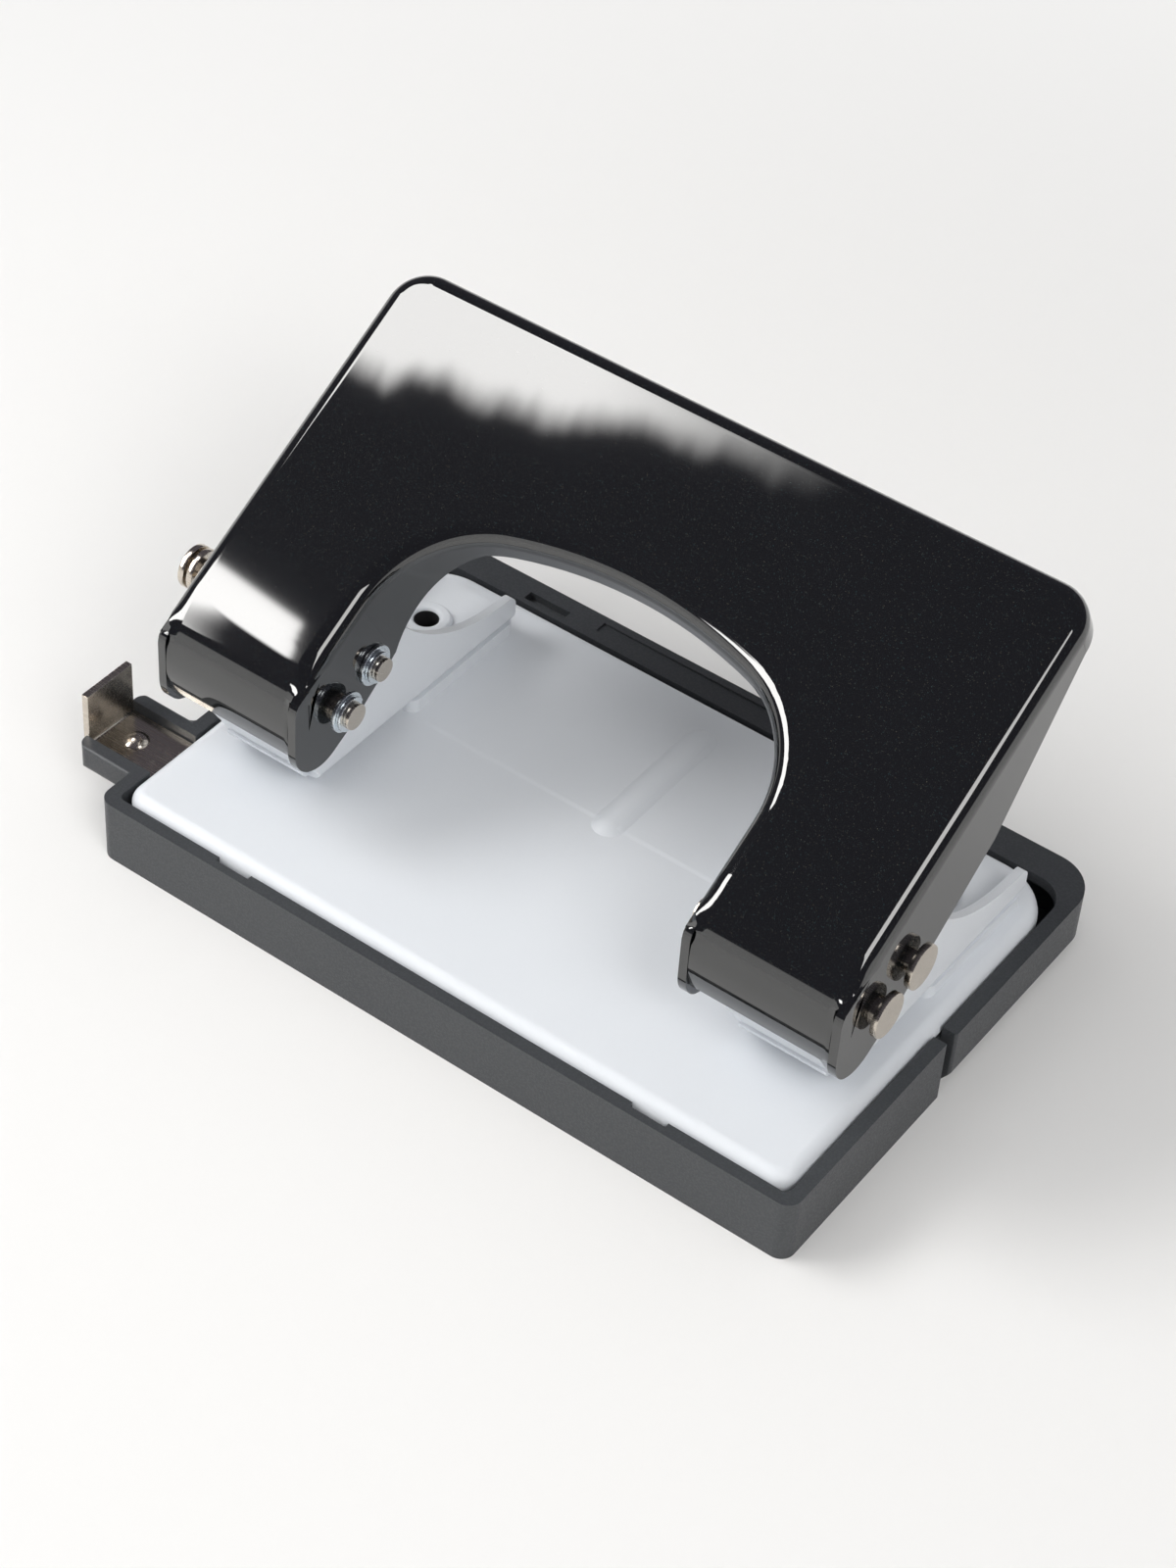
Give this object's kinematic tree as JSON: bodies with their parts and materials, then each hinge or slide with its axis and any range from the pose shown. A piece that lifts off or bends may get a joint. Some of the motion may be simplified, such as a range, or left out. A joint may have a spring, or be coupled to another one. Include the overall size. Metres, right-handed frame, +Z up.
{
  "type": "two-hole paper punch",
  "caption": "Two-hole desk punch with an arched black sheet-metal lever on two channel brackets, a pale base plate, a charcoal chip tray and a sliding paper gauge.",
  "frame": {"origin": "on the table, at the middle of the tray's underside", "axes": "+X along the tray to the viewer's right, +Y from the paper's side to the rear, +Z up"},
  "size_m": [0.1166, 0.07, 0.0619],
  "materials": {
    "black_lacquer": "gloss black lacquer with fine blue-green flake",
    "pale_paint": "satin pale grey paint",
    "charcoal_plastic": "matte moulded plastic",
    "nickel": "nickel plate",
    "zinc": "zinc plate",
    "tool_steel": "ground steel"
  },
  "bodies": {
    "base": {"base_plate": "pale_paint", "front_tray": "charcoal_plastic", "left_bracket": "pale_paint", "right_bracket": "pale_paint", "left_rivet": "pale_paint", "right_rivet": "pale_paint", "left_hinge_pin": "nickel", "right_hinge_pin": "nickel", "left_hinge_washer": "zinc", "right_hinge_washer": "zinc", "left_hinge_ring": "zinc", "right_hinge_ring": "zinc", "left_spring": "tool_steel", "right_spring": "tool_steel"},
    "lever": {"lever": "black_lacquer", "left_punch_pin": "nickel", "left_punch_washer": "zinc", "left_punch_ring": "zinc", "right_punch_pin": "nickel", "right_punch_washer": "zinc", "right_punch_ring": "zinc"},
    "left_punch": {"left_punch": "tool_steel", "left_spring_collar": "zinc"},
    "right_punch": {"right_punch": "tool_steel", "right_spring_collar": "zinc"},
    "gauge": {"gauge_bar": "nickel", "gauge_rivet": "nickel"},
    "chip_door": {"chip_door": "charcoal_plastic"}
  },
  "joints": [
    {"name": "lever_press", "type": "hinge", "parent": "base", "child": "lever", "pos_m": [0, -0.0169, 0.027], "axis": [-1, 0, 0], "range_deg": [0, 35], "stiffness_Nm_per_rad": 0.06, "springref_deg": -28.65},
    {"name": "left_punch_slide", "type": "slide", "parent": "base", "child": "left_punch", "axis": [0, 0, -1], "range_m": [0, 0.0044], "deforming": ["left_spring"]},
    {"name": "right_punch_slide", "type": "slide", "parent": "base", "child": "right_punch", "axis": [0, 0, -1], "range_m": [0, 0.0044], "deforming": ["right_spring"]},
    {"name": "gauge_slide", "type": "slide", "parent": "base", "child": "gauge", "axis": [-1, 0, 0], "range_m": [0, 0.0865]},
    {"name": "chip_door_hinge", "type": "hinge", "parent": "base", "child": "chip_door", "pos_m": [0, -0.0065, 0.004], "axis": [-1, 0, 0], "range_deg": [0, 70]}
  ],
  "couplings": [
    {"joint": "left_punch_slide", "follows": "lever_press", "m_per_rad": 0.007064},
    {"joint": "right_punch_slide", "follows": "lever_press", "m_per_rad": 0.007064}
  ]
}
